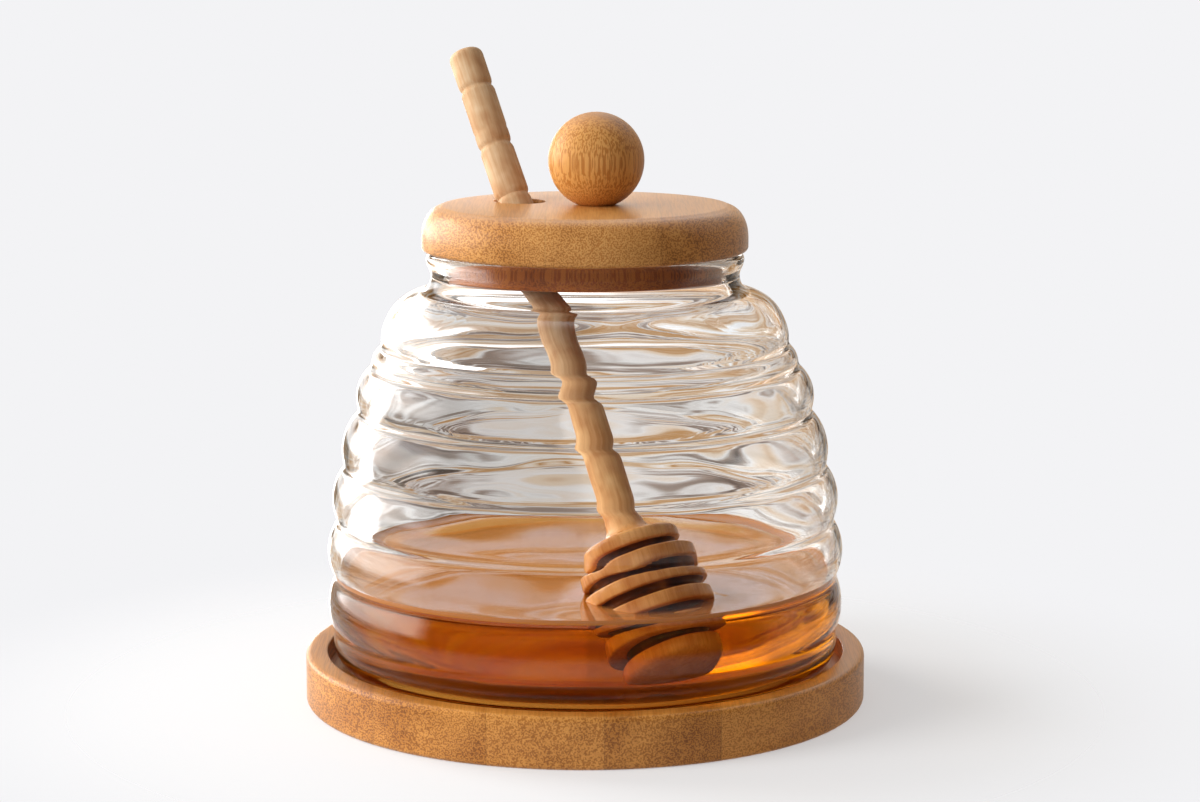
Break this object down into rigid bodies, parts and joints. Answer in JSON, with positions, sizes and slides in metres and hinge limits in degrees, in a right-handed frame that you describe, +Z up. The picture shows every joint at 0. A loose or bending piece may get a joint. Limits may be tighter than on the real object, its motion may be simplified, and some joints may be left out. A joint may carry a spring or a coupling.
{
  "type": "glass honey jar",
  "caption": "Ridged beehive-shaped glass jar part filled with honey, with a round bamboo lid, ball knob, leaning wooden dipper and round bamboo tray.",
  "frame": {"origin": "middle of the underside of the tray, on the surface it stands on", "axes": "+Z up through the middle of the jar; the front, where the dipper's head shows, is -Y; the top of the dipper leans to -X and +Y"},
  "size_m": [0.12, 0.12, 0.138],
  "materials": {
    "bamboo_tray": "fine sanded laminated bamboo, light oil",
    "clear_glass": "clear polished glass",
    "honey": "clear amber honey",
    "bamboo_lid": "fine sanded bamboo, light oil",
    "bamboo_knob": "fine sanded bamboo, light oil",
    "pale_wood": "turned pale hardwood, unfinished"
  },
  "bodies": {
    "root": {"base_tray": "bamboo_tray", "jar_glass": "clear_glass", "honey": "honey", "lid": "bamboo_lid", "lid_knob": "bamboo_knob", "dipper": "pale_wood"}
  },
  "joints": []
}
